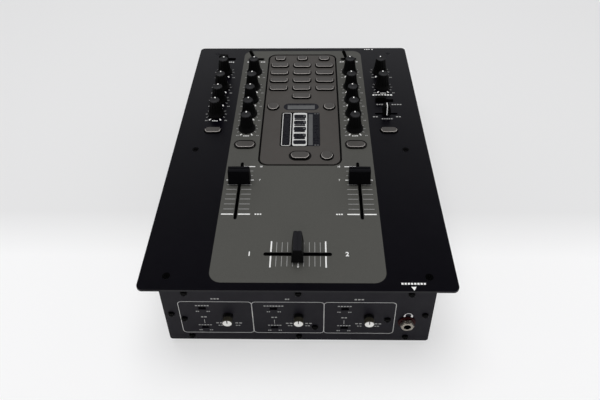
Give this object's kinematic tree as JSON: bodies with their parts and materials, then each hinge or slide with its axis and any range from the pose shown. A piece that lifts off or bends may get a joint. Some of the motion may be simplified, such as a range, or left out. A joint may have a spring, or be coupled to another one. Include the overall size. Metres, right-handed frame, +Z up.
{
  "type": "dj mixer",
  "caption": "Desktop DJ mixer: wide black faceplate on a deep steel chassis, with rotary knobs, line faders, a crossfader, an effect key panel and a front curve panel.",
  "frame": {"origin": "on the table, under the middle of the faceplate", "axes": "+X to the user's right, +Y away from the user along the longest side, +Z up"},
  "size_m": [0.254, 0.355, 0.1066],
  "materials": {
    "black_plate": "satin black paint",
    "effect_grey": "satin warm grey paint",
    "panel_black": "fine textured black paint",
    "chassis_black": "satin black paint",
    "foot_rubber": "matte",
    "screw_black": "black oxide",
    "lens": "smoked, flush",
    "bezel_plastic": "satin",
    "circuit_board": "solder mask",
    "zinc": "bright zinc",
    "switch_plastic": "satin",
    "nickel": "nickel plate",
    "gold": "gold plate",
    "core_steel": "laminated",
    "knob_rubber": "soft touch",
    "contour_plastic": "white face",
    "cap_plastic": "fine texture",
    "key_rubber": "translucent grey"
  },
  "bodies": {
    "case": {"faceplate": "black_plate", "effect_panel": "effect_grey", "front_panel": "panel_black", "rear_panel": "panel_black", "chassis_tray": "chassis_black", "rubber_feet": "foot_rubber", "case_screws": "screw_black", "display_lenses": "lens", "button_bezels": "bezel_plastic", "control_board": "circuit_board", "rotary_pots": "zinc", "fader_modules": "zinc", "switch_housings": "switch_plastic", "front_board": "circuit_board", "headphone_socket": "nickel", "main_board": "circuit_board", "power_transformer": "core_steel", "rca_sockets": "gold", "output_jacks": "nickel", "power_inlet": "switch_plastic"},
    "mic_level_knob": {"mic_level_knob": "knob_rubber"},
    "mic_high_knob": {"mic_high_knob": "knob_rubber"},
    "mic_mid_knob": {"mic_mid_knob": "knob_rubber"},
    "mic_low_knob": {"mic_low_knob": "knob_rubber"},
    "gain_knob_1": {"gain_knob_1": "knob_rubber"},
    "high_knob_1": {"high_knob_1": "knob_rubber"},
    "mid_knob_1": {"mid_knob_1": "knob_rubber"},
    "low_knob_1": {"low_knob_1": "knob_rubber"},
    "pan_knob_1": {"pan_knob_1": "knob_rubber"},
    "gain_knob_2": {"gain_knob_2": "knob_rubber"},
    "high_knob_2": {"high_knob_2": "knob_rubber"},
    "mid_knob_2": {"mid_knob_2": "knob_rubber"},
    "low_knob_2": {"low_knob_2": "knob_rubber"},
    "pan_knob_2": {"pan_knob_2": "knob_rubber"},
    "master_knob": {"master_knob": "knob_rubber"},
    "cue_level_knob": {"cue_level_knob": "knob_rubber"},
    "contour_knob_1": {"contour_knob_1": "contour_plastic"},
    "contour_knob_cross": {"contour_knob_cross": "contour_plastic"},
    "contour_knob_2": {"contour_knob_2": "contour_plastic"},
    "channel_fader_1": {"channel_fader_1": "cap_plastic"},
    "channel_fader_2": {"channel_fader_2": "cap_plastic"},
    "crossfader": {"crossfader": "cap_plastic"},
    "pan_fader": {"pan_fader": "cap_plastic"},
    "toggle_lever_1": {"toggle_lever_1": "cap_plastic"},
    "toggle_lever_2": {"toggle_lever_2": "cap_plastic"},
    "mode_switch": {"mode_switch": "cap_plastic"},
    "selector_switch": {"selector_switch": "cap_plastic"},
    "cue_button_1": {"cue_button_1": "key_rubber"},
    "cue_button_2": {"cue_button_2": "key_rubber"},
    "section_button_left": {"section_button_left": "key_rubber"},
    "section_button_right": {"section_button_right": "key_rubber"},
    "effect_key_large": {"effect_key_large": "key_rubber"},
    "effect_keys_round": {"effect_keys_round": "key_rubber"},
    "effect_keys_top": {"effect_keys_top": "key_rubber"},
    "effect_keys_left": {"effect_keys_left": "key_rubber"},
    "effect_keys_centre": {"effect_keys_centre": "key_rubber"},
    "effect_keys_right": {"effect_keys_right": "key_rubber"},
    "curve_switches_upper": {"curve_switches_upper": "cap_plastic"},
    "curve_switches_lower": {"curve_switches_lower": "cap_plastic"},
    "power_rocker": {"power_rocker": "cap_plastic"}
  },
  "joints": [
    {"name": "mic_level_knob_turn", "type": "hinge", "parent": "case", "child": "mic_level_knob", "pos_m": [-0.0915, 0.1242, 0.0873], "axis": [0, 0, -1], "range_deg": [-150, 150]},
    {"name": "mic_high_knob_turn", "type": "hinge", "parent": "case", "child": "mic_high_knob", "pos_m": [-0.0915, 0.09385, 0.0873], "axis": [0, 0, -1], "range_deg": [-150, 150]},
    {"name": "mic_mid_knob_turn", "type": "hinge", "parent": "case", "child": "mic_mid_knob", "pos_m": [-0.0915, 0.0692, 0.0873], "axis": [0, 0, -1], "range_deg": [-150, 150]},
    {"name": "mic_low_knob_turn", "type": "hinge", "parent": "case", "child": "mic_low_knob", "pos_m": [-0.0915, 0.04455, 0.0873], "axis": [0, 0, -1], "range_deg": [-150, 150]},
    {"name": "gain_knob_1_turn", "type": "hinge", "parent": "case", "child": "gain_knob_1", "pos_m": [-0.056, 0.1242, 0.0873], "axis": [0, 0, -1], "range_deg": [-150, 150]},
    {"name": "high_knob_1_turn", "type": "hinge", "parent": "case", "child": "high_knob_1", "pos_m": [-0.056, 0.09385, 0.0873], "axis": [0, 0, -1], "range_deg": [-150, 150]},
    {"name": "mid_knob_1_turn", "type": "hinge", "parent": "case", "child": "mid_knob_1", "pos_m": [-0.056, 0.0692, 0.0873], "axis": [0, 0, -1], "range_deg": [-150, 150]},
    {"name": "low_knob_1_turn", "type": "hinge", "parent": "case", "child": "low_knob_1", "pos_m": [-0.056, 0.04455, 0.0873], "axis": [0, 0, -1], "range_deg": [-150, 150]},
    {"name": "pan_knob_1_turn", "type": "hinge", "parent": "case", "child": "pan_knob_1", "pos_m": [-0.056, 0.0199, 0.0873], "axis": [0, 0, -1], "range_deg": [-150, 150]},
    {"name": "gain_knob_2_turn", "type": "hinge", "parent": "case", "child": "gain_knob_2", "pos_m": [0.056, 0.1242, 0.0873], "axis": [0, 0, -1], "range_deg": [-150, 150]},
    {"name": "high_knob_2_turn", "type": "hinge", "parent": "case", "child": "high_knob_2", "pos_m": [0.056, 0.09385, 0.0873], "axis": [0, 0, -1], "range_deg": [-150, 150]},
    {"name": "mid_knob_2_turn", "type": "hinge", "parent": "case", "child": "mid_knob_2", "pos_m": [0.056, 0.0692, 0.0873], "axis": [0, 0, -1], "range_deg": [-150, 150]},
    {"name": "low_knob_2_turn", "type": "hinge", "parent": "case", "child": "low_knob_2", "pos_m": [0.056, 0.04455, 0.0873], "axis": [0, 0, -1], "range_deg": [-150, 150]},
    {"name": "pan_knob_2_turn", "type": "hinge", "parent": "case", "child": "pan_knob_2", "pos_m": [0.056, 0.0199, 0.0873], "axis": [0, 0, -1], "range_deg": [-150, 150]},
    {"name": "master_knob_turn", "type": "hinge", "parent": "case", "child": "master_knob", "pos_m": [0.0915, 0.1242, 0.0873], "axis": [0, 0, -1], "range_deg": [-150, 150]},
    {"name": "cue_level_knob_turn", "type": "hinge", "parent": "case", "child": "cue_level_knob", "pos_m": [0.0915, 0.09385, 0.0873], "axis": [0, 0, -1], "range_deg": [-150, 150]},
    {"name": "contour_knob_1_turn", "type": "hinge", "parent": "case", "child": "contour_knob_1", "pos_m": [-0.0585, -0.17, 0.0416], "axis": [0, 1, 0], "range_deg": [-140, 140]},
    {"name": "contour_knob_cross_turn", "type": "hinge", "parent": "case", "child": "contour_knob_cross", "pos_m": [0.0006, -0.17, 0.0416], "axis": [0, 1, 0], "range_deg": [-140, 140]},
    {"name": "contour_knob_2_turn", "type": "hinge", "parent": "case", "child": "contour_knob_2", "pos_m": [0.0591, -0.17, 0.0416], "axis": [0, 1, 0], "range_deg": [-140, 140]},
    {"name": "channel_fader_1_slide", "type": "slide", "parent": "case", "child": "channel_fader_1", "axis": [0, 1, 0], "range_m": [-0.0396, 0.0204]},
    {"name": "channel_fader_2_slide", "type": "slide", "parent": "case", "child": "channel_fader_2", "axis": [0, 1, 0], "range_m": [-0.0396, 0.0204]},
    {"name": "crossfader_slide", "type": "slide", "parent": "case", "child": "crossfader", "axis": [1, 0, 0], "range_m": [-0.0225, 0.0225]},
    {"name": "pan_fader_slide", "type": "slide", "parent": "case", "child": "pan_fader", "axis": [1, 0, 0], "range_m": [-0.0075, 0.0075]},
    {"name": "toggle_lever_1_rock", "type": "hinge", "parent": "case", "child": "toggle_lever_1", "pos_m": [-0.056, 0.1526, 0.0813], "axis": [0, 1, 0], "range_deg": [0, 40]},
    {"name": "toggle_lever_2_rock", "type": "hinge", "parent": "case", "child": "toggle_lever_2", "pos_m": [0.056, 0.1526, 0.0813], "axis": [0, 1, 0], "range_deg": [0, 40]},
    {"name": "mode_switch_slide", "type": "slide", "parent": "case", "child": "mode_switch", "axis": [1, 0, 0], "range_m": [0, 0.0085]},
    {"name": "selector_switch_slide", "type": "slide", "parent": "case", "child": "selector_switch", "axis": [1, 0, 0], "range_m": [0, 0.0085]},
    {"name": "cue_button_1_press", "type": "slide", "parent": "case", "child": "cue_button_1", "axis": [0, 0, -1], "range_m": [0, 0.0012], "stiffness_N_per_m": 500},
    {"name": "cue_button_2_press", "type": "slide", "parent": "case", "child": "cue_button_2", "axis": [0, 0, -1], "range_m": [0, 0.0012], "stiffness_N_per_m": 500},
    {"name": "section_button_left_press", "type": "slide", "parent": "case", "child": "section_button_left", "axis": [0, 0, -1], "range_m": [0, 0.0012], "stiffness_N_per_m": 500},
    {"name": "section_button_right_press", "type": "slide", "parent": "case", "child": "section_button_right", "axis": [0, 0, -1], "range_m": [0, 0.0012], "stiffness_N_per_m": 500},
    {"name": "effect_key_large_press", "type": "slide", "parent": "case", "child": "effect_key_large", "axis": [0, 0, -1], "range_m": [0, 0.0012], "stiffness_N_per_m": 500},
    {"name": "effect_keys_round_press", "type": "slide", "parent": "case", "child": "effect_keys_round", "axis": [0, 0, -1], "range_m": [0, 0.0012], "stiffness_N_per_m": 500},
    {"name": "effect_keys_top_press", "type": "slide", "parent": "case", "child": "effect_keys_top", "axis": [0, 0, -1], "range_m": [0, 0.0012], "stiffness_N_per_m": 500},
    {"name": "effect_keys_left_press", "type": "slide", "parent": "case", "child": "effect_keys_left", "axis": [0, 0, -1], "range_m": [0, 0.0012], "stiffness_N_per_m": 500},
    {"name": "effect_keys_centre_press", "type": "slide", "parent": "case", "child": "effect_keys_centre", "axis": [0, 0, -1], "range_m": [0, 0.0012], "stiffness_N_per_m": 500},
    {"name": "effect_keys_right_press", "type": "slide", "parent": "case", "child": "effect_keys_right", "axis": [0, 0, -1], "range_m": [0, 0.0012], "stiffness_N_per_m": 500},
    {"name": "curve_switches_upper_slide", "type": "slide", "parent": "case", "child": "curve_switches_upper", "axis": [1, 0, 0], "range_m": [0, 0.0024]},
    {"name": "curve_switches_lower_slide", "type": "slide", "parent": "case", "child": "curve_switches_lower", "axis": [1, 0, 0], "range_m": [0, 0.0024]},
    {"name": "power_rocker_rock", "type": "hinge", "parent": "case", "child": "power_rocker", "pos_m": [0.0865, 0.167, 0.04], "axis": [-1, 0, 0], "range_deg": [0, 18]}
  ]
}
